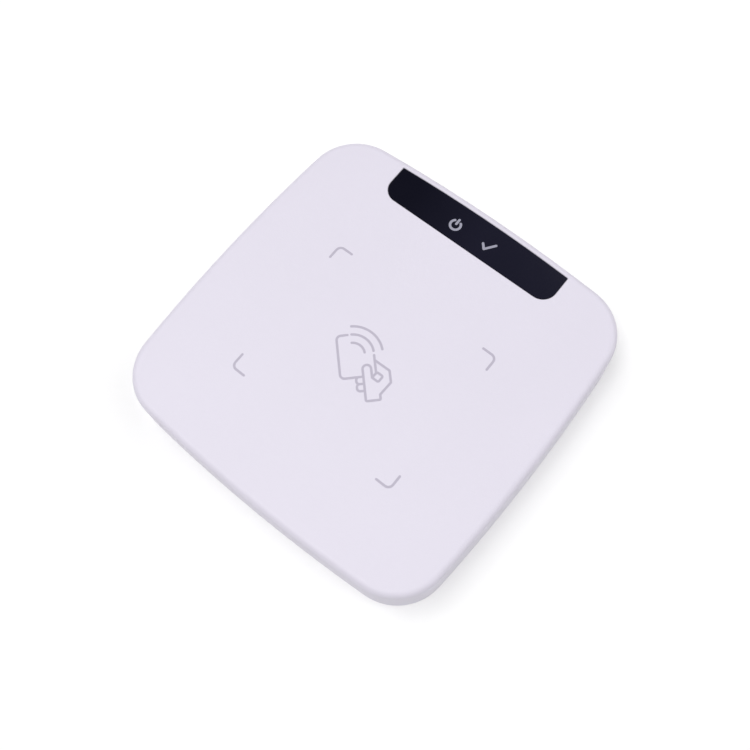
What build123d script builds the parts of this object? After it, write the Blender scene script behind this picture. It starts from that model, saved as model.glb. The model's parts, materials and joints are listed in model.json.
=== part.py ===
from build123d import *
import math
import os

# Contactless ticket validator of the flat desktop kind. A passenger lays a card or a phone on the reading field,
# and the two symbols in the dark window at the rear edge light up. It takes power and data through one socket.
#
# Millimetres. +Z is up. +Y points from the reading field to the indicator window and the rear wall.
# The origin is on the table, under the middle of the body, so the rubber feet stand on z = 0.

# ---------------------------------------------------------------- driving dimensions: the body
WIDTH = 110.0  # from the middle of the left side to the middle of the right one
DEPTH = 109.3  # from the middle of the front side to the middle of the rear one
SIDE_RADIUS = 530.0  # the four sides bulge outwards by this radius
CORNER_RADIUS = 15.95
HEIGHT = 18.5  # table to top face
FOOT_HEIGHT = 1.5  # how far the feet hold the body off the table
TOP_EDGE_RADIUS = 2.0
SKIRT_EDGE_RADIUS = 0.5
WALL = 2.2
FIT_GAP = 0.15  # between the base plate and the skirt around it

# driving dimensions: stacking heights
BASE_RECESS = 0.2  # the base plate sits this far inside the skirt's lower edge
BASE_THICKNESS = 2.0
BOARD_LIFT = 2.7  # base plate to main board
BOARD_THICKNESS = 1.6
ANTENNA_BOARD_THICKNESS = 1.0
ANTENNA_TO_CEILING = 1.1
COPPER = 0.1
PRINT = 0.05  # ink of the printed marks

# driving dimensions: what shows on the top face
WINDOW_LENGTH = 60.2
WINDOW_MARGIN = 2.25  # the window's rear edge runs this far inside the body's rear side, and as bowed
WINDOW_FRONT = 40.8
WINDOW_CORNER_RADIUS = 4.6  # the two front corners
WINDOW_GAP = 0.1
LENS_THICKNESS = 1.0
TAPE_THICKNESS = 0.2
SYMBOL_X = 5.9  # the two indicator symbols stand left and right of the middle
SYMBOL_Y = 45.7
SYMBOL_STROKE = 0.75
GUIDE = 5.2  # width of the square light guides under the symbols
LINE = 0.7  # width of the lines printed on the top face
FIELD_Y = -4.6  # middle of the reading field
FIELD_HALF_X = 28.45
FIELD_HALF_Y = 23.9
MARK_ARM = 4.5
MARK_RADIUS = 1.6
CARD_DRAWN = (10.1, 13.0)  # the card in the pictogram
BUMP_DRAWN = 2.1  # and the ends of the two fingers that show under it

# driving dimensions: rear wall
USB_X = -24.0
USB_SHELL = (8.94, 3.26)
USB_DEPTH = 7.35
USB_OPENING = (13.0, 7.2)
RESET_X = -13.0
RESET_RADIUS = 1.4
RESET_FLANGE = 0.8
STEM_RADIUS = 0.75
STEM_LENGTH = 2.7
SWITCH_REAR = 50.1  # y of the switch's rear face
RESET_TRAVEL = 0.5
TRAY_X = 20.0
TRAY_FACE = (18.0, 2.6)
TRAY_LENGTH = 30.0
TRAY_THICKNESS = 1.3
CARD_SIZE = (15.0, 25.0, 0.76)  # a plug-in size security card
PAD = (3.0, 2.1)
PAD_THICKNESS = 0.05
SLIDE_GAP = 0.1

# driving dimensions: fastening and standing
BOSS_AT = 42.5  # the four housing screws, both ways from the middle
LABEL_POCKET = (46.0, 28.0)
FEET_AT = (43.0, 27.0)
FOOT_RADIUS = 5.0
FOOT_POCKET_DEPTH = 1.0
INSERT_AT = 30.0  # M3 inserts on a 60 mm square
INSERT_LENGTH = 4.0
INSERT_BORE_RADIUS = 1.25
STANDOFFS = [(-40.0, 24.0), (40.0, 24.0), (-41.0, -32.0), (41.0, -32.0)]
ANTENNA_HALF = (37.0, 32.0)
BUZZER_AT = (30.0, 0.0)
CELL_AT = (-30.0, 2.0)
CELL_RADIUS = 6.25
CELL_THICKNESS = 2.0

# ---------------------------------------------------------------- worked out from them
HALF_WIDTH = WIDTH / 2
HALF_DEPTH = DEPTH / 2
SKIRT_FOOT = FOOT_HEIGHT
CEILING = HEIGHT - WALL
BASE_BOTTOM = SKIRT_FOOT + BASE_RECESS
BASE_TOP = BASE_BOTTOM + BASE_THICKNESS
BOSS_SEAT = BASE_TOP + 1.3  # where the cover's screw bosses stand on the base plate's
BOARD_BOTTOM = BASE_TOP + BOARD_LIFT
BOARD_TOP = BOARD_BOTTOM + BOARD_THICKNESS
ANTENNA_TOP = CEILING - ANTENNA_TO_CEILING
COIL_TOP = ANTENNA_TOP + COPPER
ANTENNA_BOTTOM = ANTENNA_TOP - ANTENNA_BOARD_THICKNESS
LENS_BOTTOM = HEIGHT - LENS_THICKNESS
WINDOW_FLOOR = LENS_BOTTOM - TAPE_THICKNESS
GUIDE_BOTTOM = BOARD_TOP + 2.3
USB_Z = BOARD_TOP + USB_SHELL[1] / 2
RESET_Z = BOARD_TOP + 1.8
TRAY_Z = BOARD_TOP + 1.6
SCREW_SEAT = BASE_BOTTOM + 1.9
RIGHT_CENTRE = HALF_WIDTH - SIDE_RADIUS  # x of the right side's centre
REAR_CENTRE = HALF_DEPTH - SIDE_RADIUS  # y of the rear side's centre
CENTRES_APART = math.hypot(RIGHT_CENTRE, REAR_CENTRE)
CORNER_REACH = math.sqrt((SIDE_RADIUS - CORNER_RADIUS) ** 2 - CENTRES_APART**2 / 4) / CENTRES_APART
CORNER_X = RIGHT_CENTRE / 2 - CORNER_REACH * REAR_CENTRE
CORNER_Y = REAR_CENTRE / 2 - CORNER_REACH * RIGHT_CENTRE
RIGHT_TURN = math.degrees(math.atan2(CORNER_Y, CORNER_X - RIGHT_CENTRE))
REAR_TURN = math.degrees(math.atan2(CORNER_X, CORNER_Y - REAR_CENTRE))


# ---------------------------------------------------------------- helpers
def four(x, y):
    """The four places at plus and minus x and y."""
    return [(sx * x, sy * y) for sx in (-1, 1) for sy in (-1, 1)]


def outline(inset=0.0):
    """The body's plan, a rounded square with bulged sides, moved inwards by inset."""
    bulge = SIDE_RADIUS - inset
    right = CenterArc((RIGHT_CENTRE, 0), bulge, -RIGHT_TURN, 2 * RIGHT_TURN)
    rear = CenterArc((0, REAR_CENTRE), bulge, 90 - REAR_TURN, 2 * REAR_TURN)
    corner = CenterArc((CORNER_X, CORNER_Y), CORNER_RADIUS - inset, RIGHT_TURN, 90 - RIGHT_TURN - REAR_TURN)
    half = [right, corner, rear, mirror(corner, Plane.YZ)]
    return make_face(half + [Rot(0, 0, 180) * edge for edge in half])


def rear_face_y(x):
    """y of the rear wall's outer face at x."""
    return REAR_CENTRE + math.sqrt(SIDE_RADIUS**2 - x**2)


def slab(face, bottom, top):
    """A flat face stood up between two heights."""
    return Pos(0, 0, bottom) * extrude(face, top - bottom, dir=(0, 0, 1))


def post(x, y, radius, bottom, top):
    return Pos(x, y, (bottom + top) / 2) * Cylinder(radius, top - bottom)


def block(x, y, length, width, bottom, top):
    return Pos(x, y, (bottom + top) / 2) * Box(length, width, top - bottom)


def through_rear(face, x, z, depth, y=None):
    """A face given in x and z, pushed towards the front by depth from y."""
    start = HALF_DEPTH + 1 if y is None else y
    return Plane(origin=(x, start, z), x_dir=(1, 0, 0), z_dir=(0, -1, 0)) * extrude(face, depth, dir=(0, 0, 1))


def stroke(path, width=LINE):
    """The flat shape of a drawn line with round ends."""
    return Sketch() + [SlotArc(edge, width) for edge in path.edges()]


def top_edges(part):
    return part.faces().sort_by(Axis.Z)[-1].edges()


def bottom_edges(part):
    return part.faces().sort_by(Axis.Z)[0].edges()


def phillips(radius, depth):
    """The cross recess of a screw, its mouth on z = 0 and cut downwards."""
    arm = Pos(0, 0, -depth / 2) * Box(2 * radius, 0.45 * radius, depth)
    tip = Pos(0, 0, -depth) * Cone(0.2 * radius, 0.5 * radius, depth, align=(Align.CENTER, Align.CENTER, Align.MIN))
    return arm + Rot(0, 0, 90) * arm + tip


def screw(head_radius, head_height, thread_radius, length):
    """A pan-head screw, its head's seat on z = 0 and its thread pointing down."""
    head = Pos(0, 0, head_height / 2) * Cylinder(head_radius, head_height)
    head = fillet(top_edges(head), 0.45 * head_height)
    head -= Pos(0, 0, head_height) * phillips(0.6 * head_radius, 0.6 * head_height)
    core = 0.78 * thread_radius
    pitch = 0.4 * thread_radius + 0.3
    count = int((length - pitch) / pitch)
    points = [(0, 0), (core, 0)]
    for n in range(count):
        top = -0.5 * pitch - n * pitch
        points += [(core, top), (thread_radius, top - 0.4 * pitch), (thread_radius, top - 0.55 * pitch)]
        points += [(core, top - 0.95 * pitch)]
    points += [(core, -length + core), (0.15 * core, -length), (0, -length)]
    thread = revolve(make_face(Polyline(*points, close=True)), Axis.Y)
    return head + Rot(90, 0, 0) * thread


# ---------------------------------------------------------------- housing
def lens_outline(gap=0.0):
    """The window's plan: a bowed rear edge with sharp corners, and round corners in front. gap shrinks it."""
    middle = (WINDOW_FRONT + HALF_DEPTH) / 2
    face = Pos(0, middle) * Rectangle(WINDOW_LENGTH - 2 * gap, HALF_DEPTH - WINDOW_FRONT - 2 * gap)
    face &= Pos(0, REAR_CENTRE) * Circle(SIDE_RADIUS - WINDOW_MARGIN - gap)
    face = fillet(face.vertices().group_by(Axis.Y)[0], WINDOW_CORNER_RADIUS - gap)
    return fillet(face.vertices().group_by(Axis.Y)[-1], 0.3)


def top_cover():
    """The deep shell: top face, skirt, window recess, screw bosses, and the openings in the rear wall."""
    aperture, pilot_radius, pilot_depth = 5.6, 1.35, 8.5
    cover = slab(outline(), SKIRT_FOOT, HEIGHT)
    cover = fillet(top_edges(cover), TOP_EDGE_RADIUS)
    cover = fillet(bottom_edges(cover), SKIRT_EDGE_RADIUS)
    hollow = slab(outline(WALL), SKIRT_FOOT - 1, CEILING)
    cover -= fillet(top_edges(hollow), 0.8)
    cover -= slab(lens_outline(), WINDOW_FLOOR, HEIGHT + 1)
    cover = chamfer(cover.faces().sort_by(Axis.Z)[-1].inner_wires()[0].edges(), 0.15)
    for side in (-1, 1):
        cover -= block(side * SYMBOL_X, SYMBOL_Y, aperture, aperture, CEILING - 1, WINDOW_FLOOR + 1)
    for x, y in four(BOSS_AT, BOSS_AT):
        cover += boss_with_ribs(x, y)
        cover -= post(x, y, pilot_radius, BOSS_SEAT - 1, BOSS_SEAT + pilot_depth)
    cover += board_locators()
    usb = through_rear(SlotOverall(*USB_OPENING), USB_X, USB_Z, 2 * WALL + 1)
    reset = through_rear(Circle(RESET_RADIUS + SLIDE_GAP), RESET_X, RESET_Z, 2 * WALL + 1)
    slot = Rectangle(TRAY_FACE[0] + 2 * SLIDE_GAP, TRAY_FACE[1] + 2 * SLIDE_GAP)
    slot = fillet(slot.vertices(), 0.6)
    return cover - usb - reset - through_rear(slot, TRAY_X, TRAY_Z, 2 * WALL + 1)


def boss_with_ribs(x, y):
    """A screw boss that hangs from the ceiling, with two ribs towards the middle of the body."""
    length, depth, width = 5.0, 5.0, 1.0
    shift_x, shift_y = math.copysign(0.9 * length, x), math.copysign(0.9 * length, y)
    boss = post(x, y, 3.25, BOSS_SEAT, CEILING + 0.5)
    boss += block(x - shift_x, y, length, width, CEILING - depth, CEILING + 0.5)
    return boss + block(x, y - shift_y, width, length, CEILING - depth, CEILING + 0.5)


def board_locators():
    """Short ribs under the cover's ceiling that keep the antenna board from sliding."""
    rib_height, rib_length, rib_width = 2.4, 8.0, 1.0
    half_x, half_y = ANTENNA_HALF
    ribs = Part()
    for side in (-1, 1):
        x = side * (half_x + 0.3 + rib_width / 2)
        y = FIELD_Y + side * (half_y + 0.3 + rib_width / 2)
        ribs += block(x, FIELD_Y, rib_width, rib_length, CEILING - rib_height, CEILING + 0.5)
        ribs += block(-side * 18, y, rib_length, rib_width, CEILING - rib_height, CEILING + 0.5)
    return ribs


def base_plate():
    """The plate that closes the skirt from below and carries the boards, the inserts and the feet."""
    plate = slab(outline(WALL + FIT_GAP), BASE_BOTTOM, BASE_TOP)
    plate = chamfer(bottom_edges(plate), 0.3)
    rim = slab(outline(WALL + FIT_GAP), BASE_TOP, BASE_TOP + 2.3)
    plate += rim - slab(outline(WALL + FIT_GAP + 1.4), BASE_TOP - 1, BASE_TOP + 4)
    for n in (-1, 0, 1):
        plate += block(n * 16.0, 0, 1.0, 92, BASE_TOP - 0.2, BASE_TOP + 1.2)
        plate += block(0, n * 16.0, 92, 1.0, BASE_TOP - 0.2, BASE_TOP + 1.2)
    for x, y in four(BOSS_AT, BOSS_AT):
        plate += post(x, y, 3.6, BASE_TOP - 0.2, BOSS_SEAT)
        plate -= post(x, y, 2.7, BASE_BOTTOM - 1, SCREW_SEAT)
        plate -= post(x, y, 1.5, BASE_BOTTOM, BOSS_SEAT + 1)
    for x, y in STANDOFFS:
        plate += post(x, y, 3.0, BASE_TOP - 0.2, BOARD_BOTTOM)
        plate -= post(x, y, 1.3, BASE_TOP - 0.5, BOARD_BOTTOM + 1)
    for x, y in four(INSERT_AT, INSERT_AT):
        plate += post(x, y, 3.8, BASE_TOP - 0.2, BOARD_BOTTOM - 0.2)
        plate -= post(x, y, 2.1, BASE_BOTTOM - 1, BASE_BOTTOM + INSERT_LENGTH)
    for x, y in four(*FEET_AT):
        plate -= post(x, y, FOOT_RADIUS + 0.1, BASE_BOTTOM - 1, BASE_BOTTOM + FOOT_POCKET_DEPTH)
    plate -= sound_holes()
    return plate - slab(fillet(Rectangle(*LABEL_POCKET).vertices(), 2.0), BASE_BOTTOM - 1, BASE_BOTTOM + 0.3)


def sound_holes():
    """One hole and a ring of six under the buzzer."""
    x, y = BUZZER_AT
    spots = [(0, 0)] + [(4 * math.cos(math.radians(60 * n)), 4 * math.sin(math.radians(60 * n))) for n in range(6)]
    return Part() + [post(x + dx, y + dy, 0.9, BASE_BOTTOM - 1, BASE_TOP + 2) for dx, dy in spots]


def rating_label():
    """A blank label in the base plate's shallow pocket."""
    face = fillet(Rectangle(LABEL_POCKET[0] - 1, LABEL_POCKET[1] - 1).vertices(), 1.5)
    return slab(face, BASE_BOTTOM + 0.15, BASE_BOTTOM + 0.3)


def housing_screws():
    body = Rot(180, 0, 0) * screw(2.4, 1.6, 1.3, 9.5)
    return Part(children=[Pos(x, y, SCREW_SEAT) * body for x, y in four(BOSS_AT, BOSS_AT)])


def rubber_feet():
    foot = post(0, 0, FOOT_RADIUS, 0, BASE_BOTTOM + FOOT_POCKET_DEPTH)
    foot = fillet(bottom_edges(foot), 0.6)
    return Part(children=[Pos(x, y) * foot for x, y in four(*FEET_AT)])


def mounting_inserts():
    """Brass M3 inserts, pressed into the base plate from below, with two bands of grooves."""
    outer = 2.08
    body = post(0, 0, outer, 0, INSERT_LENGTH) - post(0, 0, INSERT_BORE_RADIUS, -1, INSERT_LENGTH + 1)
    body = chamfer(body.edges().filter_by(GeomType.CIRCLE).group_by(Axis.Z)[0].sort_by(SortBy.LENGTH)[0], 0.3)
    for z in (1.3, 2.7):
        body -= Pos(0, 0, z) * (Cylinder(outer + 1, 0.4) - Cylinder(outer - 0.2, 0.4))
    return Part(children=[Pos(x, y, BASE_BOTTOM) * body for x, y in four(INSERT_AT, INSERT_AT)])


# ---------------------------------------------------------------- window and printed marks
def indicator_window():
    """The smoked acrylic lens, flush with the top face."""
    return chamfer(top_edges(slab(lens_outline(WINDOW_GAP), LENS_BOTTOM, HEIGHT)), 0.15)


def window_tape():
    """The double-sided tape under the lens, cut away over the two light guides."""
    tape = slab(lens_outline(WINDOW_GAP + 0.4), WINDOW_FLOOR, LENS_BOTTOM)
    for side in (-1, 1):
        tape -= block(side * SYMBOL_X, SYMBOL_Y, 6.2, 6.2, WINDOW_FLOOR - 1, LENS_BOTTOM + 1)
    return tape


def power_symbol():
    """A ring, open at the rear, with a bar in the gap."""
    radius, gap, drop = 1.6, 40, 0.2
    ring = stroke(CenterArc((0, -drop), radius, 90 + gap, 360 - 2 * gap), SYMBOL_STROKE)
    bar = stroke(Line((0, 0.2), (0, radius + 0.2)), SYMBOL_STROKE)
    return Part(children=[Pos(-SYMBOL_X, SYMBOL_Y) * slab(face, HEIGHT, HEIGHT + PRINT) for face in (ring, bar)])


def status_symbol():
    """A tick: the ticket is valid."""
    tick = stroke(Polyline((-1.75, -0.1), (-0.5, -1.45), (1.75, 1.55)), SYMBOL_STROKE)
    return Pos(SYMBOL_X, SYMBOL_Y) * slab(tick, HEIGHT, HEIGHT + PRINT)


def corner_marks():
    """Four rounded corner brackets around the reading field."""
    mark = stroke(FilletPolyline((-MARK_ARM, 0), (0, 0), (0, -MARK_ARM), radius=MARK_RADIUS))
    body = slab(mark, HEIGHT, HEIGHT + PRINT)
    places = [(FIELD_HALF_X, FIELD_HALF_Y, 0), (-FIELD_HALF_X, FIELD_HALF_Y, 90)]
    places += [(-FIELD_HALF_X, -FIELD_HALF_Y, 180), (FIELD_HALF_X, -FIELD_HALF_Y, 270)]
    return Part(children=[Pos(x, FIELD_Y + y) * Rot(0, 0, turn) * body for x, y, turn in places])


def waves_drawn():
    """Three arcs over the card's corner, as strokes."""
    return [stroke(CenterArc((-1.1, 0.4), radius, 45 - 41, 2 * 41)) for radius in (3.6, 6.15, 8.65)]


def hand_drawn():
    """The card, open where the waves leave it, and the hand that holds it, as one flat shape."""
    right, rear = CARD_DRAWN[0] / 2, CARD_DRAWN[1] / 2
    thumb, tip_y, tip_radius = 1.4, -4.35, 1.2
    card = FilletPolyline((-1.85, rear), (-right, rear), (-right, -rear), (thumb, -rear), radius=1.3)
    palm = [(right, -2.0), (8.85, -5.6), (8.85, -9.15), (5.5, -12.3), (5.5, -13.8), (thumb, -13.8), (thumb, tip_y)]
    tip = CenterArc((thumb + tip_radius, tip_y), tip_radius, 0, 180)
    side = thumb + 2 * tip_radius
    knuckle = [(5.3, -5.6), (6.85, -7.1), (5.35, -8.6), (side, -7.1)]
    shape = stroke(card) + stroke(Line((right, -0.5), (right, -6.0)))
    shape += stroke(FilletPolyline(*palm, radius=0.4))
    shape += stroke(tip) + stroke(Line((side, tip_y), (side, -7.1)))
    shape += stroke(FilletPolyline(*knuckle, radius=0.5, close=True))
    for finger in range(2):
        near, far = -rear - finger * BUMP_DRAWN, -rear - (finger + 1) * BUMP_DRAWN
        bump = [(thumb, near), (thumb - BUMP_DRAWN, near), (thumb - BUMP_DRAWN, far), (thumb, far)]
        shape += stroke(FilletPolyline(*bump, radius=0.9))
    return shape


def tap_symbol():
    """The pictogram in the middle of the field: a hand with a card that sends out waves, turned by 45 degrees."""
    bodies = [slab(face, HEIGHT, HEIGHT + PRINT) for face in [*waves_drawn(), hand_drawn()]]
    place = Pos(-2.85, FIELD_Y + 0.2) * Rot(0, 0, 45)
    return Part(children=[place * body for body in bodies])


# ---------------------------------------------------------------- boards
def board_outline():
    front, rear, half = -44.0, 50.0, 46.0
    face = Pos(0, (front + rear) / 2) * Rectangle(2 * half, rear - front)
    face = chamfer(face.vertices().group_by(Axis.Y)[-1], 16.5)
    return chamfer(face.vertices().group_by(Axis.Y)[0], 10.5)


def main_board():
    board = slab(board_outline(), BOARD_BOTTOM, BOARD_TOP)
    for x, y in STANDOFFS:
        board -= post(x, y, 1.4, BOARD_BOTTOM - 1, BOARD_TOP + 1)
    return board - post(*BUZZER_AT, 2.0, BOARD_BOTTOM - 1, BOARD_TOP + 1)


def board_screws():
    body = screw(2.3, 1.5, 1.2, 4.6)
    return Part(children=[Pos(x, y, BOARD_TOP) * body for x, y in STANDOFFS])


def antenna_spots():
    """Where the antenna board is screwed to its spacers."""
    return [(x, FIELD_Y + y) for x, y in four(33.5, 28.5)]


def antenna_board():
    half_x, half_y = ANTENNA_HALF
    face = Pos(0, FIELD_Y) * fillet(Rectangle(2 * half_x, 2 * half_y).vertices(), 3.0)
    board = slab(face, ANTENNA_BOTTOM, ANTENNA_TOP)
    for x, y in antenna_spots():
        board -= post(x, y, 1.15, ANTENNA_BOTTOM - 1, ANTENNA_TOP + 1)
    for x, y in header_spots():
        board -= post(x, y, 0.5, ANTENNA_BOTTOM - 1, ANTENNA_TOP + 1)
    return board


def antenna_coil():
    """The 13.56 MHz loop: four turns of copper track round the reading field."""
    turns, pitch, width = 4, 1.9, 1.1
    half_x, half_y, feed = 31.0, 26.0, 2.5
    points = [(-feed, -half_y)]
    for turn in range(turns):
        near = turn * pitch
        last = near + (pitch if turn < turns - 1 else 0)
        points += [(-half_x + near, -half_y + near), (-half_x + near, half_y - near)]
        points += [(half_x - near, half_y - near), (half_x - near, -half_y + last)]
    points.append((feed, -half_y + (turns - 1) * pitch))
    return Pos(0, FIELD_Y) * slab(stroke(FilletPolyline(*points, radius=3.0), width), ANTENNA_TOP, COIL_TOP)


def ferrite_sheet():
    """Keeps the field out of the main board's copper."""
    return block(0, FIELD_Y, 60, 51, ANTENNA_BOTTOM - 0.4, ANTENNA_BOTTOM)


def antenna_spacers():
    body = extrude(RegularPolygon(2.6, 6), ANTENNA_BOTTOM - BOARD_TOP) - post(0, 0, 1.15, -1, 9)
    return Part(children=[Pos(x, y, BOARD_TOP) * body for x, y in antenna_spots()])


def antenna_screws():
    body = screw(1.7, 0.9, 1.0, 4.5)
    return Part(children=[Pos(x, y, ANTENNA_TOP) * body for x, y in antenna_spots()])


def header_spots():
    pitch, front = 2.54, -34.9
    return [(pitch * (n - 2.5), front + pitch * row) for n in range(6) for row in (0, 1)]


def board_header():
    """The plastic body of the plug between the two boards."""
    body = block(0, -33.63, 15.24, 5.0, BOARD_TOP, ANTENNA_BOTTOM)
    for x, y in header_spots():
        body -= block(x, y, 0.7, 0.7, BOARD_TOP - 1, ANTENNA_BOTTOM + 1)
    return body


def header_pins():
    pin = block(0, 0, 0.6, 0.6, BOARD_TOP, ANTENNA_TOP + 0.6)
    pin = chamfer(top_edges(pin), 0.15)
    return Part(children=[Pos(x, y) * pin for x, y in header_spots()])


# ---------------------------------------------------------------- parts on the main board
def controller_chip():
    body = block(-8, 12, 10, 10, BOARD_TOP + 0.1, BOARD_TOP + 1.5)
    return chamfer(body.edges().group_by(Axis.Z)[-1], 0.25) - post(-12, 16, 0.5, BOARD_TOP + 1.4, BOARD_TOP + 2)


def controller_leads():
    """Sixteen gull-wing leads on each side of the controller."""
    path = [(4.9, 0.75), (5.35, 0.75), (5.6, 0.15), (6.1, 0.15)]
    path += [(6.1, 0.0), (5.5, 0.0), (5.25, 0.6), (4.9, 0.6)]
    profile = make_face(Polyline(*path, close=True))
    lead = Rot(90, 0, 0) * extrude(profile, 0.11, both=True)
    lead -= Pos(0, 0, 0.75) * Box(10.0, 2, 1.6)
    spots = [(90 * side, 0.55 * (n - 7.5)) for side in range(4) for n in range(16)]
    return Part(children=[Pos(-8, 12, BOARD_TOP) * Rot(0, 0, turn) * Pos(0, y, 0) * lead for turn, y in spots])


def reader_chip():
    return chamfer(top_edges(block(0, -14, 6, 6, BOARD_TOP, BOARD_TOP + 0.9)), 0.1)


def shield_can():
    """The tin-plated can over the radio front end, with vent holes."""
    can = block(0, -14, 21, 17, BOARD_TOP, BOARD_TOP + 3.2)
    can = fillet(top_edges(can), 0.5)
    can -= block(0, -14, 20.5, 16.5, BOARD_TOP - 1, BOARD_TOP + 2.95)
    for nx in range(-3, 4):
        for ny in range(-2, 3):
            can -= post(2.6 * nx, -14 + 2.6 * ny, 0.6, BOARD_TOP + 2, BOARD_TOP + 4)
    return can


def memory_chips():
    """Flash memory and line driver, each with four leads a side."""
    children = []
    for x, y in ((8, 12), (8, 3)):
        body = chamfer(top_edges(block(x, y, 4, 5, BOARD_TOP + 0.1, BOARD_TOP + 1.6)), 0.2)
        for n in range(4):
            for side in (-1, 1):
                body += block(x + side * 2.4, y + 1.27 * (n - 1.5), 1.2, 0.4, BOARD_TOP, BOARD_TOP + 0.3)
        children.append(body)
    return Part(children=children)


def crystal():
    can = slab(SlotOverall(11.0, 4.6), BOARD_TOP + 0.4, BOARD_TOP + 3.6)
    can = fillet(top_edges(can), 0.4)
    can += slab(SlotOverall(12.2, 5.4), BOARD_TOP, BOARD_TOP + 0.5)
    return Pos(-8, 1) * can


def power_inductor():
    body = fillet(block(-35, 33, 6, 6, BOARD_TOP, BOARD_TOP + 3).edges().filter_by(Axis.Z), 1.0)
    return body - (post(-35, 33, 2.6, BOARD_TOP + 2.6, BOARD_TOP + 4) - post(-35, 33, 2.1, BOARD_TOP, BOARD_TOP + 5))


def storage_capacitors():
    """Two surface-mount electrolytic cans on their square feet."""
    foot = fillet(block(0, 0, 6.6, 6.6, 0, 0.9).edges().filter_by(Axis.Z), 0.8)
    can = post(0, 0, 3.1, 0.8, 5.0)
    can = fillet(top_edges(can), 0.5)
    can -= Pos(0, 0, 1.6) * (Cylinder(4, 0.5) - Cylinder(2.85, 0.5))
    return Part(children=[Pos(x, y, BOARD_TOP) * (foot + can) for x, y in ((-26, 35), (-26, 27.5))])


def voltage_regulator():
    body = chamfer(top_edges(block(-15, 36, 6.5, 3.5, BOARD_TOP + 0.1, BOARD_TOP + 1.7)), 0.25)
    body += block(-15, 38.3, 3.0, 1.6, BOARD_TOP, BOARD_TOP + 0.35)
    for n in (-1, 0, 1):
        body += block(-15 + 2.3 * n, 33.7, 0.7, 1.6, BOARD_TOP, BOARD_TOP + 0.35)
    return body


def chip_passives():
    """Rows of small resistors and capacitors round the chips."""
    piece = block(0, 0, 1.6, 0.8, 0, 0.7)
    rows = [(-18, 20, 0), (-18, 4, 0), (14, 14, 90), (14, 3, 90), (-14, -14, 0), (-14, -20, 0), (15, -14, 90)]
    spots = [(x, y + 2.0 * n, turn) for x, y, turn in rows for n in range(3)]
    return Part(children=[Pos(x, y, BOARD_TOP) * Rot(0, 0, turn) * piece for x, y, turn in spots])


def coin_cell_holder():
    """The sprung clip that holds the clock's cell against the board."""
    x, y = CELL_AT
    sheet, inside = 0.3, 2 * CELL_RADIUS + 0.6
    clip = block(x, y, inside + 2 * sheet, 7.0, BOARD_TOP, BOARD_TOP + CELL_THICKNESS + sheet)
    clip -= block(x, y, inside, 9.0, BOARD_TOP - 1, BOARD_TOP + CELL_THICKNESS)
    for side in (-1, 1):
        clip += block(x + side * (inside / 2 + 0.9), y, 1.8, 4.0, BOARD_TOP, BOARD_TOP + sheet)
    return clip - block(x, y, 4.0, 4.0, BOARD_TOP + 1, BOARD_TOP + 4)


def coin_cell():
    cell = post(*CELL_AT, CELL_RADIUS, BOARD_TOP, BOARD_TOP + CELL_THICKNESS)
    return fillet(cell.edges().filter_by(GeomType.CIRCLE), 0.3)


def buzzer():
    x, y = BUZZER_AT
    body = fillet(top_edges(post(x, y, 6.0, BOARD_TOP, BOARD_TOP + 5.0)), 0.4)
    return body - post(x, y, 1.2, BOARD_TOP - 1, BOARD_TOP + 4)


# ---------------------------------------------------------------- indicator lights
def indicator_led(side):
    """A white surface-mount lamp with a round cup."""
    x = side * SYMBOL_X
    body = block(x, SYMBOL_Y, 3.4, 2.8, BOARD_TOP, BOARD_TOP + 1.8)
    return body - post(x, SYMBOL_Y, 1.1, BOARD_TOP + 1.3, BOARD_TOP + 3)


def light_guide(side):
    """A clear bar that carries the lamp's light up to its symbol."""
    bar = block(side * SYMBOL_X, SYMBOL_Y, GUIDE, GUIDE, GUIDE_BOTTOM, WINDOW_FLOOR)
    return chamfer(bar.edges().filter_by(Axis.Z), 0.4)


def light_guide_holder():
    """The black block round both lamps and guides, with a ledge that the guides stand on."""
    holder = block(0, SYMBOL_Y, 18.6, 8.0, BOARD_TOP, CEILING - 0.3)
    holder = fillet(holder.edges().filter_by(Axis.Z), 0.8)
    for side in (-1, 1):
        holder -= block(side * SYMBOL_X, SYMBOL_Y, GUIDE + 0.1, GUIDE + 0.1, GUIDE_BOTTOM, CEILING + 1)
        holder -= block(side * SYMBOL_X, SYMBOL_Y, GUIDE - 1.2, GUIDE - 1.2, BOARD_TOP - 1, GUIDE_BOTTOM + 1)
    return holder


# ---------------------------------------------------------------- rear wall
def usb_mouth():
    """y of the socket's open end, just inside the rear wall."""
    return rear_face_y(USB_X) - WALL - 0.1


def usb_shell():
    """The steel shell of the type C socket, with four legs on the board."""
    mouth, sheet = usb_mouth(), 0.3
    shell = through_rear(SlotOverall(*USB_SHELL), USB_X, USB_Z, USB_DEPTH, mouth)
    inner = SlotOverall(USB_SHELL[0] - 2 * sheet, USB_SHELL[1] - 2 * sheet)
    shell -= through_rear(inner, USB_X, USB_Z, USB_DEPTH - sheet + 1, mouth + 1)
    for side in (-1, 1):
        for back in (1.8, 5.6):
            shell += block(USB_X + side * 4.55, mouth - back, sheet, 1.0, BOARD_TOP, USB_Z)
    return shell


def usb_tongue():
    """The plastic tongue that carries the socket's contacts, and its root."""
    mouth, reach, root = usb_mouth(), USB_DEPTH - 0.3, 1.2
    tongue = through_rear(Rectangle(6.6, 0.7), USB_X, USB_Z, reach - 0.9, mouth - 0.9)
    return tongue + through_rear(SlotOverall(8.3, 2.6), USB_X, USB_Z, root, mouth - reach + root)


def usb_contacts():
    """Twelve gold strips on each face of the tongue."""
    strip = Box(0.25, 3.6, 0.06)
    spots = [(0.5 * (n - 5.5), face) for n in range(12) for face in (-1, 1)]
    return Part(children=[Pos(USB_X + x, usb_mouth() - 3.0, USB_Z + face * 0.38) * strip for x, face in spots])


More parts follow.
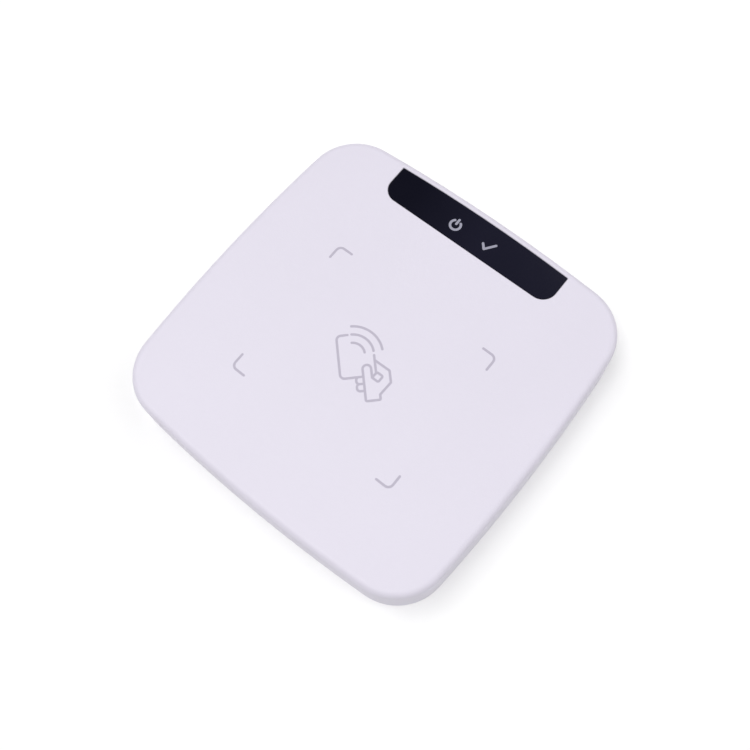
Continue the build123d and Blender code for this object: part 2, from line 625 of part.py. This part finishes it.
def reset_switch():
    """A side-pressed switch at the board's rear edge, bored for its stem."""
    bore = STEM_LENGTH + RESET_TRAVEL
    body = block(RESET_X, SWITCH_REAR - 1.8, 5.6, 3.6, BOARD_TOP, BOARD_TOP + 3.6)
    body = chamfer(body.edges().filter_by(Axis.Y), 0.25)
    return body - through_rear(Circle(STEM_RADIUS + 0.1), RESET_X, RESET_Z, bore, SWITCH_REAR + 1)


def reset_button():
    """The cap in the rear wall. Its flange stands behind the wall."""
    face = rear_face_y(RESET_X)
    barrel = through_rear(Circle(RESET_RADIUS), RESET_X, RESET_Z, WALL, face - 0.25)
    barrel = fillet(barrel.faces().sort_by(Axis.Y)[-1].edges(), 0.3)
    return barrel + through_rear(Circle(RESET_RADIUS + 0.7), RESET_X, RESET_Z, RESET_FLANGE, face - WALL - 0.1)


def reset_stem():
    """The switch's own stem, pushed by the cap."""
    rear = rear_face_y(RESET_X) - WALL - 0.1 - RESET_FLANGE
    return through_rear(Circle(STEM_RADIUS), RESET_X, RESET_Z, STEM_LENGTH, rear)


TRAY_BOTTOM = TRAY_Z - TRAY_THICKNESS / 2
TRAY_FRONT = rear_face_y(TRAY_X) - TRAY_LENGTH  # y of the tray's inner end
CARD_BOTTOM = TRAY_BOTTOM + 0.25
CARD_MIDDLE = TRAY_FRONT + 1.0 + CARD_SIZE[1] / 2


def sam_socket():
    """The steel cage of the security card's socket, open to the rear."""
    half, rear, length = 9.1, 49.5, 27.0
    y = rear - length / 2
    cage = block(TRAY_X, y, 2 * half, length, BOARD_TOP, TRAY_Z + 1.1)
    cage -= block(TRAY_X, y + 1, 2 * half - 0.6, length, BOARD_TOP - 1, TRAY_Z + 0.85)
    cage = fillet(cage.edges().filter_by(Axis.Y).group_by(Axis.Z)[-1], 0.24)
    return cage - block(TRAY_X, y + 4, 9, 12, TRAY_Z, TRAY_Z + 3)


def sam_contact_block():
    """The socket's plastic floor, with the two rails that the tray slides on."""
    length, middle = 25.0, 36.5
    floor = block(TRAY_X, 35.5, 17.0, 14.0, BOARD_TOP, BOARD_TOP + 0.7)
    for side in (-1, 1):
        floor += block(TRAY_X + side * 7.95, middle, 1.1, length, BOARD_TOP, TRAY_BOTTOM - 0.02)
    return floor - block(TRAY_X, 35.5, 3.0, 10.0, BOARD_TOP - 1, BOARD_TOP + 2)


def pad_spots():
    """Where the card's six contacts lie."""
    return [(TRAY_X + side * 3.8, 36.5 + 2.54 * n) for side in (-1, 1) for n in (-1, 0, 1)]


def sam_springs():
    """Six contact springs on the socket's floor. Their crowns just reach the card's contacts."""
    floor, sheet = BOARD_TOP + 0.7, 0.14
    crown = CARD_BOTTOM - 0.01 - floor
    upper = [(-2.4, sheet), (-0.9, sheet), (-0.3, crown), (0.3, crown), (0.8, 0.25)]
    lower = [(0.72, 0.13), (0.2, crown - sheet), (-0.2, crown - sheet), (-0.82, 0), (-2.4, 0)]
    profile = make_face(Polyline(*upper, *lower, close=True))
    spring = Plane.YZ * extrude(profile, 0.4, both=True)
    return Part(children=[Pos(x, y, floor) * spring for x, y in pad_spots()])


def sam_tray():
    """The drawer that carries the security card. Its face closes the slot in the rear wall."""
    width, opening = 16.6, 12.0
    rear, front = rear_face_y(TRAY_X), TRAY_FRONT
    top = TRAY_BOTTOM + TRAY_THICKNESS
    frame = block(TRAY_X, front + TRAY_LENGTH / 2, width, TRAY_LENGTH, TRAY_BOTTOM, top)
    frame = fillet(frame.edges().filter_by(Axis.Z), 0.8)
    frame -= block(TRAY_X, CARD_MIDDLE, CARD_SIZE[0] + 0.2, CARD_SIZE[1] + 0.2, CARD_BOTTOM, top + 1)
    frame -= block(TRAY_X, front + 10, opening, 22.0, TRAY_BOTTOM - 1, CARD_BOTTOM + 0.1)
    face = through_rear(fillet(Rectangle(*TRAY_FACE).vertices(), 0.5), TRAY_X, TRAY_Z, WALL + 1.0, rear + 0.5)
    tray = (frame + face) & slab(outline(0.05), 0, HEIGHT)
    grip = through_rear(SlotOverall(5.0, 0.9), TRAY_X, TRAY_Z, 1.2, rear + 0.5)
    return tray - grip - through_rear(Circle(0.5), TRAY_X + 6.8, TRAY_Z, 3.0, rear + 0.5)


def sam_card():
    """The security card, one corner cut off, with a shallow bed for each contact."""
    width, length, thickness = CARD_SIZE
    face = chamfer(Rectangle(width, length).vertices().sort_by(lambda corner: corner.X + corner.Y)[-1], 3.0)
    card = Pos(TRAY_X, CARD_MIDDLE) * slab(face, CARD_BOTTOM, CARD_BOTTOM + thickness)
    for x, y in pad_spots():
        card -= block(x, y, *PAD, CARD_BOTTOM - 1, CARD_BOTTOM + PAD_THICKNESS)
    return card


def sam_contacts():
    """The card's contacts, flush with its underside."""
    pad = block(0, 0, *PAD, CARD_BOTTOM, CARD_BOTTOM + PAD_THICKNESS)
    return Part(children=[Pos(x, y) * pad for x, y in pad_spots()])


# ---------------------------------------------------------------- the assembly
parts = {
    "top_cover": top_cover(),
    "base_plate": base_plate(),
    "rating_label": rating_label(),
    "housing_screws": housing_screws(),
    "rubber_feet": rubber_feet(),
    "mounting_inserts": mounting_inserts(),
    "indicator_window": indicator_window(),
    "window_tape": window_tape(),
    "power_symbol": power_symbol(),
    "status_symbol": status_symbol(),
    "corner_marks": corner_marks(),
    "tap_symbol": tap_symbol(),
    "main_board": main_board(),
    "board_screws": board_screws(),
    "antenna_board": antenna_board(),
    "antenna_coil": antenna_coil(),
    "ferrite_sheet": ferrite_sheet(),
    "antenna_spacers": antenna_spacers(),
    "antenna_screws": antenna_screws(),
    "board_header": board_header(),
    "header_pins": header_pins(),
    "controller_chip": controller_chip(),
    "controller_leads": controller_leads(),
    "reader_chip": reader_chip(),
    "shield_can": shield_can(),
    "memory_chips": memory_chips(),
    "crystal": crystal(),
    "power_inductor": power_inductor(),
    "storage_capacitors": storage_capacitors(),
    "voltage_regulator": voltage_regulator(),
    "chip_passives": chip_passives(),
    "coin_cell_holder": coin_cell_holder(),
    "coin_cell": coin_cell(),
    "buzzer": buzzer(),
    "power_led": indicator_led(-1),
    "status_led": indicator_led(1),
    "power_light_guide": light_guide(-1),
    "status_light_guide": light_guide(1),
    "light_guide_holder": light_guide_holder(),
    "usb_shell": usb_shell(),
    "usb_tongue": usb_tongue(),
    "usb_contacts": usb_contacts(),
    "reset_switch": reset_switch(),
    "reset_button": reset_button(),
    "reset_stem": reset_stem(),
    "sam_socket": sam_socket(),
    "sam_contact_block": sam_contact_block(),
    "sam_springs": sam_springs(),
    "sam_tray": sam_tray(),
    "sam_card": sam_card(),
    "sam_contacts": sam_contacts(),
}

os.makedirs("parts", exist_ok=True)
for name, part in parts.items():
    export_step(part, f"parts/{name}.step")
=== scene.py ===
# Looks of the ticket validator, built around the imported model. Metres, +Z up, +Y towards the window and the rear wall.
import json
import math

import bmesh
import bpy
from mathutils import Euler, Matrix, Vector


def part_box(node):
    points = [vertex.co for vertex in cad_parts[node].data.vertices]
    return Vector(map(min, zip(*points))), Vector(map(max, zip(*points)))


MM = 0.001

# ---------------------------------------------------------------- camera, floor and light
CAMERA_AT = (69.073 * MM, -68.023 * MM, 266.886 * MM)
CAMERA_TURN = (19.6606, 2.4222, 39.0140)  # degrees, XYZ
CAMERA_LENS = 45.416  # millimetres, as Blender has it, and so is the sensor's width
CAMERA_SENSOR = 36.0
NEAREST_SEEN = 10 * MM
FLOOR_HALF = 6.0
FLOOR_COLOUR = (0.72, 0.72, 0.72)
BACKDROP_COLOUR = (1.0, 1.0, 1.0)
ROOM_LIGHT = (0.075, 0.075, 0.075)
TABLE_GLOW = 0.28  # the floor is a light table, so that shadows stay pale
WHITE = (1.0, 1.0, 1.0, 1.0)

# a soft box: name, the side it stands on (0 is the front, 90 the right), its height above the horizon, its spread in
# the sky, all in degrees, and its strength
SOFT_BOXES = (
    ("front_box", 0.0, 70.0, 30.0, 1.225),
    ("right_box", 120.0, 45.0, 40.0, 0.715),
    ("rear_box", 180.0, 45.0, 40.0, 0.280),
    ("left_box", 270.0, 70.0, 30.0, 0.990),
    ("corner_box", 300.0, 45.0, 40.0, 0.365),
)

# ---------------------------------------------------------------- colours, linear, matched to the photograph
COVER_COLOUR = (0.755, 0.721, 0.821)
MARK_COLOUR = (0.488, 0.454, 0.551)
SYMBOL_COLOUR = (0.324, 0.322, 0.404)
SMOKE_DARK = (0.0030, 0.0030, 0.0095)
# the window's colour at its right end, brightened by a painted reflection
SMOKE_WITH_PAINTED_REFLECTION = (0.0098, 0.0096, 0.0220)

# sockets of Blender's Mix node that share one name, by their places
MIX_FACTOR, MIX_ONE, MIX_OTHER, MIX_RESULT = 0, 6, 7, 2
COMPARE_WITHIN = 2  # the Compare node's tolerance


# ---------------------------------------------------------------- how a material is put together
class Finish:
    """A Principled material and the few nodes that give it grain, wear and relief, all in the piece's own coordinates.

    The colour and roughness given at the start hold where no node is fed to them.
    """

    def __init__(self, name, colour, roughness=0.5, metallic=0.0, ior=1.5):
        self.material = bpy.data.materials.new(name)
        self.material.use_nodes = True
        self.nodes = self.material.node_tree.nodes
        self.links = self.material.node_tree.links
        self.surface = self.nodes["Principled BSDF"]
        self.set("Base Color", (*colour, 1.0))
        self.set("Roughness", roughness)
        self.set("Metallic", metallic)
        self.set("IOR", ior)
        self.place = self.nodes.new("ShaderNodeTexCoord").outputs["Object"]

    def set(self, socket, value):
        self.surface.inputs[socket].default_value = value

    def feed(self, socket, output):
        self.links.new(output, self.surface.inputs[socket])

    def node(self, kind, inputs=(), **settings):
        """A node with its settings, and its inputs linked or set."""
        made = self.nodes.new(kind)
        for key, value in settings.items():
            setattr(made, key, value)
        for key, value in dict(inputs).items():
            if isinstance(value, bpy.types.NodeSocket):
                self.links.new(value, made.inputs[key])
            else:
                made.inputs[key].default_value = value
        return made

    def stretched(self, scale):
        """The piece's coordinates, scaled along each axis."""
        return self.node("ShaderNodeMapping", {"Vector": self.place, "Scale": scale}).outputs["Vector"]

    def noise(self, size, detail=2.0, rough=0.5, where=None):
        """Noise with lumps of about that size, in metres."""
        made = self.node(
            "ShaderNodeTexNoise",
            {"Vector": where or self.place, "Scale": 1.0 / size, "Detail": detail, "Roughness": rough},
        )
        return made.outputs["Fac"]

    def cells(self, size, feature="F1"):
        """Distance to the middle or the edge of cells of about that size, in metres."""
        made = self.node("ShaderNodeTexVoronoi", {"Vector": self.place, "Scale": 1.0 / size}, feature=feature)
        return made.outputs["Distance"]

    def range(self, value, low, high, start=0.0, end=1.0):
        """A value that runs from start to end, brought to run from low to high and kept there."""
        made = self.node(
            "ShaderNodeMapRange",
            {"Value": value, "From Min": start, "From Max": end, "To Min": low, "To Max": high},
        )
        return made.outputs["Result"]

    def mix(self, factor, one, other):
        """A colour between two colours. Each is a tuple or another node's colour."""
        one, other = (c if isinstance(c, bpy.types.NodeSocket) else (*c, 1.0) for c in (one, other))
        inputs = {MIX_FACTOR: factor, MIX_ONE: one, MIX_OTHER: other}
        return self.node("ShaderNodeMix", inputs, data_type="RGBA").outputs[MIX_RESULT]

    def math(self, operation, one, other=0.0):
        return self.node("ShaderNodeMath", {0: one, 1: other}, operation=operation).outputs[0]

    def along(self, axis, vector=None):
        """One coordinate of the piece's place, or of another vector."""
        return self.node("ShaderNodeSeparateXYZ", {"Vector": vector or self.place}).outputs[axis]

    def relief(self, height, depth, strength=1.0, under=None):
        """Relief that is depth metres from its lowest to its highest point. Another relief can lie under it."""
        inputs = {"Height": height, "Distance": depth, "Strength": strength}
        if under:
            inputs["Normal"] = under
        made = self.node("ShaderNodeBump", inputs).outputs["Normal"]
        self.feed("Normal", made)
        return made


def shaded(colour, shade):
    return tuple(c * shade for c in colour)


# ---------------------------------------------------------------- plastics
def moulded_plastic(name, colour, grain, depth, roughness, shade):
    """Moulded plastic with an eroded tool finish: fine pits, a faint flow of the melt and an uneven sheen."""
    f = Finish(name, colour, ior=1.46)
    flow = f.noise(28 * MM, detail=3.0)
    f.feed("Base Color", f.mix(f.range(flow, 0.0, 1.0, start=0.3, end=0.7), shaded(colour, shade), colour))
    fine = f.noise(grain, detail=3.0, rough=0.6)
    pits = f.cells(grain * 1.7)
    sheen = f.math("ADD", fine, f.math("MULTIPLY", flow, 0.4))
    f.feed("Roughness", f.range(sheen, roughness - 0.05, roughness + 0.05, start=0.4, end=1.0))
    waves = f.relief(f.noise(9 * MM, detail=1.0), depth * 2.0, strength=0.5)
    f.relief(f.math("ADD", fine, f.math("MULTIPLY", pits, 0.5)), depth, strength=0.7, under=waves)
    return f


def cover_plastic():
    return moulded_plastic(
        "cover_plastic_look", COVER_COLOUR, grain=0.40 * MM, depth=0.045 * MM, roughness=0.50, shade=0.985
    )


def base_plastic():
    return moulded_plastic(
        "base_plastic_look", (0.70, 0.67, 0.75), grain=0.5 * MM, depth=0.02 * MM, roughness=0.58, shade=0.985
    )


def black_plastic():
    return moulded_plastic(
        "black_plastic_look", (0.018, 0.018, 0.020), grain=0.25 * MM, depth=0.01 * MM, roughness=0.42, shade=0.8
    )


def grey_plastic():
    return moulded_plastic(
        "grey_plastic_look", (0.32, 0.32, 0.33), grain=0.2 * MM, depth=0.01 * MM, roughness=0.45, shade=0.93
    )


def window_acrylic():
    """Smoked acrylic, polished: nearly black, with a painted reflection that brightens it towards the right, faint
    orange peel and fine scuffs.
    """
    f = Finish("window_acrylic_look", SMOKE_DARK, roughness=0.10, ior=1.49)
    low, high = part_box("indicator_window")
    length = high.x - low.x
    # painted reflection: the base colour brightens from left to right, as a reflection of the lights would, with a
    # random tone of the tint added on top
    painted_reflection = f.range(f.along("X"), 0.0, 0.85, start=low.x + 0.12 * length, end=low.x + 0.55 * length)
    painted_reflection_and_tone = f.math("ADD", painted_reflection, f.range(f.noise(14 * MM), -0.15, 0.15))
    f.feed("Base Color", f.mix(painted_reflection_and_tone, SMOKE_DARK, SMOKE_WITH_PAINTED_REFLECTION))
    scuffs = f.noise(0.5 * MM, detail=4.0, rough=0.65)
    f.feed("Roughness", f.range(scuffs, 0.09, 0.13, start=0.35, end=0.75))
    orange_peel = f.relief(f.noise(6 * MM, detail=0.0), 0.006 * MM, strength=0.5)
    f.relief(scuffs, 0.0004 * MM, strength=0.3, under=orange_peel)
    return f


def clear_plastic():
    """The light guides: clear, and slightly frosted by the mould."""
    f = Finish("clear_plastic_look", (0.93, 0.94, 0.95), roughness=0.06, ior=1.49)
    f.set("Transmission Weight", 0.9)
    f.relief(f.noise(2 * MM), 0.004 * MM, strength=0.5)
    f.feed("Roughness", f.range(f.noise(0.5 * MM), 0.04, 0.10))
    return f


def card_plastic():
    """The security card: pale blue, satin."""
    f = Finish("card_plastic_look", (0.62, 0.70, 0.80))
    sheen = f.noise(0.25 * MM)
    f.feed("Base Color", f.mix(f.noise(6 * MM), (0.58, 0.67, 0.79), (0.66, 0.73, 0.82)))
    f.feed("Roughness", f.range(sheen, 0.28, 0.40))
    f.relief(sheen, 0.003 * MM, strength=0.5)
    return f


def black_tape():
    """Foam tape: matt, with open cells."""
    f = Finish("black_tape_look", (0.012, 0.012, 0.013), roughness=0.85)
    cell = f.cells(0.22 * MM)
    f.feed("Base Color", f.mix(cell, (0.006, 0.006, 0.007), (0.022, 0.022, 0.024)))
    f.feed("Roughness", f.range(cell, 0.75, 0.95))
    f.relief(cell, 0.03 * MM)
    return f


def rubber():
    """Black rubber feet: a matt skin with dust in patches."""
    f = Finish("rubber_look", (0.020, 0.020, 0.021), roughness=0.7, ior=1.52)
    dust = f.noise(1.6 * MM, detail=5.0, rough=0.65)
    dusty = f.range(dust, 0.0, 1.0, start=0.35, end=0.8)
    f.feed("Base Color", f.mix(dusty, (0.014, 0.014, 0.015), (0.045, 0.044, 0.043)))
    f.feed("Roughness", f.range(dust, 0.62, 0.86))
    f.relief(f.noise(0.15 * MM, detail=3.0), 0.012 * MM)
    return f


# ---------------------------------------------------------------- prints and label
def ink(name, colour, roughness):
    """Screen printed ink: the mesh of the screen and a slightly uneven coat."""
    f = Finish(name, colour)
    coat = f.noise(0.9 * MM, detail=3.0)
    f.feed("Base Color", f.mix(coat, shaded(colour, 0.97), shaded(colour, 1.03)))
    f.feed("Roughness", f.range(coat, roughness - 0.05, roughness + 0.05))
    mesh = f.noise(0.12 * MM, detail=1.0)
    f.relief(mesh, 0.004 * MM, strength=0.5)
    return f


def mark_ink():
    return ink("mark_ink_look", MARK_COLOUR, 0.50)


def symbol_ink():
    return ink("symbol_ink_look", SYMBOL_COLOUR, 0.40)


def label_film():
    """A blank rating label: satin film with a printed frame and ruled rows, and nothing written in them."""
    low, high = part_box("rating_label")
    middle, half = (low + high) / 2, (high - low) / 2
    border, line = 1.2 * MM, 0.25 * MM
    row = (half.y - border) / 4  # half the distance between two ruled lines, so that the last ones fall on the frame
    f = Finish("label_film_look", (0.80, 0.80, 0.80))
    x = f.math("SUBTRACT", f.along("X"), middle.x)
    y = f.math("SUBTRACT", f.along("Y"), middle.y)
    from_ends = f.math("SUBTRACT", half.x, f.math("ABSOLUTE", x))
    from_sides = f.math("SUBTRACT", half.y, f.math("ABSOLUTE", y))
    inset = f.math("MINIMUM", from_ends, from_sides)
    frame_line = f.math("COMPARE", inset, border)
    frame_line.node.inputs[COMPARE_WITHIN].default_value = line
    ruled = f.math("LESS_THAN", f.math("PINGPONG", y, row), line / 2)
    row_line = f.math("MULTIPLY", ruled, f.math("GREATER_THAN", inset, border))
    printed = f.math("MAXIMUM", frame_line, row_line)
    f.feed("Base Color", f.mix(printed, (0.78, 0.78, 0.77), (0.20, 0.20, 0.21)))
    satin = f.noise(0.3 * MM, detail=3.0)
    f.feed("Roughness", f.range(satin, 0.34, 0.48))
    f.relief(satin, 0.003 * MM)
    return f


# ---------------------------------------------------------------- metals
def metal(name, colour, roughness, streak, tarnish):
    """Worked metal: streaks of the tool or the roll, so many to the metre along each axis, and tarnish in patches."""
    f = Finish(name, colour, metallic=1.0)
    patches = f.noise(1.2 * MM, detail=4.0)
    streaks = f.noise(1.0, detail=3.0, where=f.stretched(streak))
    tarnished = f.range(patches, 0.0, 1.0, start=0.4, end=0.75)
    f.feed("Base Color", f.mix(tarnished, colour, shaded(colour, tarnish)))
    worn = f.math("ADD", patches, streaks)
    f.feed("Roughness", f.range(worn, roughness - 0.08, roughness + 0.10, start=0.6, end=1.4))
    f.relief(streaks, 0.003 * MM, strength=0.6)
    return f


def steel():
    return metal("steel_look", (0.56, 0.57, 0.58), roughness=0.30, streak=(2500.0, 2500.0, 9000.0), tarnish=0.80)


def tinplate():
    return metal("tinplate_look", (0.63, 0.63, 0.62), roughness=0.28, streak=(4000.0, 350.0, 4000.0), tarnish=0.86)


def gold():
    return metal("gold_look", (0.83, 0.60, 0.25), roughness=0.22, streak=(1500.0, 6000.0, 1500.0), tarnish=0.88)


def brass():
    return metal("brass_look", (0.68, 0.48, 0.20), roughness=0.28, streak=(3000.0, 3000.0, 700.0), tarnish=0.78)


def copper():
    return metal("copper_look", (0.72, 0.33, 0.19), roughness=0.35, streak=(800.0, 800.0, 800.0), tarnish=0.70)


def aluminium():
    return metal("aluminium_look", (0.77, 0.78, 0.79), roughness=0.32, streak=(600.0, 600.0, 9000.0), tarnish=0.90)


# ---------------------------------------------------------------- electronics
def circuit_board():
    """Green solder mask over copper tracks, with bare laminate along the cut edges."""
    f = Finish("circuit_board_look", (0.02, 0.12, 0.05))
    weave = f.noise(0.5 * MM, detail=1.0)
    tracks = f.node(
        "ShaderNodeTexBrick",
        {
            "Vector": f.place,
            "Scale": 1.0,
            "Mortar Size": 0.16 * MM,
            "Mortar Smooth": 0.1,
            "Brick Width": 3.4 * MM,
            "Row Height": 1.1 * MM,
        },
    ).outputs["Fac"]
    crowd = f.math("GREATER_THAN", f.noise(7 * MM, detail=1.0), 0.5)
    copper_under = f.math("MULTIPLY", tracks, crowd)
    mask = f.mix(copper_under, (0.012, 0.085, 0.035), (0.035, 0.165, 0.060))
    normal = f.node("ShaderNodeNewGeometry").outputs["Normal"]
    cut = f.math("LESS_THAN", f.math("ABSOLUTE", f.along("Z", normal)), 0.5)
    f.feed("Base Color", f.mix(cut, mask, (0.38, 0.33, 0.17)))
    f.feed("Roughness", f.range(cut, 0.28, 0.75))
    f.relief(f.math("ADD", copper_under, f.math("MULTIPLY", weave, 0.2)), 0.03 * MM)
    return f


def chip_plastic():
    """Black moulding compound of the chips, with a matt top and a lighter dust in its pores."""
    f = Finish("chip_plastic_look", (0.022, 0.022, 0.024), ior=1.55)
    grit = f.noise(0.09 * MM, detail=3.0, rough=0.7)
    dusty = f.range(grit, 0.0, 1.0, start=0.4, end=0.8)
    f.feed("Base Color", f.mix(dusty, (0.016, 0.016, 0.018), (0.050, 0.050, 0.053)))
    f.feed("Roughness", f.range(grit, 0.55, 0.78))
    f.relief(grit, 0.01 * MM)
    return f


def white_ceramic():
    """Small ceramic parts: each block in its own shade, from white to tan."""
    f = Finish("white_ceramic_look", (0.70, 0.66, 0.58), ior=1.6)
    each = f.node("ShaderNodeNewGeometry").outputs["Random Per Island"]
    tone = f.mix(f.math("GREATER_THAN", each, 0.55), (0.70, 0.67, 0.60), (0.36, 0.24, 0.14))
    grit = f.noise(0.15 * MM)
    f.feed("Base Color", f.mix(f.range(grit, 0.0, 0.35), tone, (0.85, 0.82, 0.75)))
    f.feed("Roughness", f.range(grit, 0.35, 0.60))
    f.relief(grit, 0.006 * MM)
    return f


def ferrite():
    """Dark sintered sheet, crazed into small plates."""
    f = Finish("ferrite_look", (0.045, 0.040, 0.038), ior=2.0)
    grit = f.noise(0.3 * MM, detail=4.0, rough=0.7)
    cracks = f.cells(2.2 * MM, "DISTANCE_TO_EDGE")
    crazed = f.math("LESS_THAN", cracks, 0.03)
    f.feed("Base Color", f.mix(crazed, (0.050, 0.045, 0.042), (0.020, 0.018, 0.017)))
    f.feed("Roughness", f.range(grit, 0.45, 0.75))
    f.relief(f.math("SUBTRACT", grit, crazed), 0.02 * MM)
    return f


# ---------------------------------------------------------------- putting it together
# one for each material slot of the record, and named as the slot is
MAKERS = (
    cover_plastic,
    base_plastic,
    black_plastic,
    grey_plastic,
    window_acrylic,
    clear_plastic,
    card_plastic,
    black_tape,
    rubber,
    mark_ink,
    symbol_ink,
    label_film,
    steel,
    tinplate,
    gold,
    brass,
    copper,
    aluminium,
    circuit_board,
    chip_plastic,
    white_ceramic,
    ferrite,
)


def dress(nodes, materials):
    """Each material slot of the record gets the finish that the maker of its name makes."""
    makers = {maker.__name__: maker for maker in MAKERS}
    finishes = {row["slot"]: makers[row["slot"]]().material for row in materials}
    for node in nodes.values():
        for slot in node.material_slots:
            slot.material = finishes[slot.material.name]


def floor():
    """A wide white floor, which glows a little."""
    mesh = bpy.data.meshes.new("floor")
    made = bpy.data.objects.new("floor", mesh)
    bpy.context.scene.collection.objects.link(made)
    sheet = bmesh.new()
    bmesh.ops.create_grid(sheet, x_segments=1, y_segments=1, size=FLOOR_HALF)
    sheet.to_mesh(mesh)
    sheet.free()
    f = Finish("floor_look", FLOOR_COLOUR, roughness=0.9)
    f.set("Specular IOR Level", 0.0)
    f.set("Emission Color", WHITE)
    f.set("Emission Strength", TABLE_GLOW)
    mesh.materials.append(f.material)


def soft_box(name, side, height, spread, strength):
    """A light so far off that it falls evenly everywhere, as wide in the sky as spread says."""
    lamp = bpy.data.lights.new(name, "SUN")
    lamp.energy = strength
    lamp.angle = math.radians(spread)
    made = bpy.data.objects.new(name, lamp)
    bpy.context.scene.collection.objects.link(made)
    made.rotation_euler = Euler((math.radians(90.0 - height), 0.0, math.radians(side)), "XYZ")


def room():
    """Even room light on the object, and a plain white backdrop behind it."""
    world = bpy.data.worlds.new("room")
    bpy.context.scene.world = world
    world.use_nodes = True
    nodes, links = world.node_tree.nodes, world.node_tree.links
    light = nodes["Background"]
    light.inputs["Color"].default_value = (*ROOM_LIGHT, 1.0)
    seen = nodes.new("ShaderNodeBackground")
    seen.inputs["Color"].default_value = (*BACKDROP_COLOUR, 1.0)
    path = nodes.new("ShaderNodeLightPath")
    either = nodes.new("ShaderNodeMixShader")
    links.new(path.outputs["Is Camera Ray"], either.inputs[0])
    links.new(light.outputs[0], either.inputs[1])
    links.new(seen.outputs[0], either.inputs[2])
    links.new(either.outputs[0], nodes["World Output"].inputs["Surface"])


def camera():
    """The photograph's view."""
    lens = bpy.data.cameras.new("camera")
    lens.lens = CAMERA_LENS
    lens.sensor_width = CAMERA_SENSOR
    lens.clip_start = NEAREST_SEEN
    made = bpy.data.objects.new("camera", lens)
    made.location = CAMERA_AT
    made.rotation_euler = Euler([math.radians(a) for a in CAMERA_TURN], "XYZ")
    bpy.context.scene.collection.objects.link(made)
    bpy.context.scene.camera = made


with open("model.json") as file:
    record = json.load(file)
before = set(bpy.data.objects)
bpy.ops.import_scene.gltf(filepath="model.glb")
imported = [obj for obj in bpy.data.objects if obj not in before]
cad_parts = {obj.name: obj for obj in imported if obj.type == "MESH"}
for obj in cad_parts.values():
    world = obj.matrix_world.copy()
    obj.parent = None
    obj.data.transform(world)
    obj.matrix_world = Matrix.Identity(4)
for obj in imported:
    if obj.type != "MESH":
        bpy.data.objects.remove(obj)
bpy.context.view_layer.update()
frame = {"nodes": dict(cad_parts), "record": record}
bpy.context.scene.view_settings.view_transform = "Standard"
dress(frame["nodes"], frame["record"]["materials"])
floor()
room()
for box in SOFT_BOXES:
    soft_box(*box)
camera()
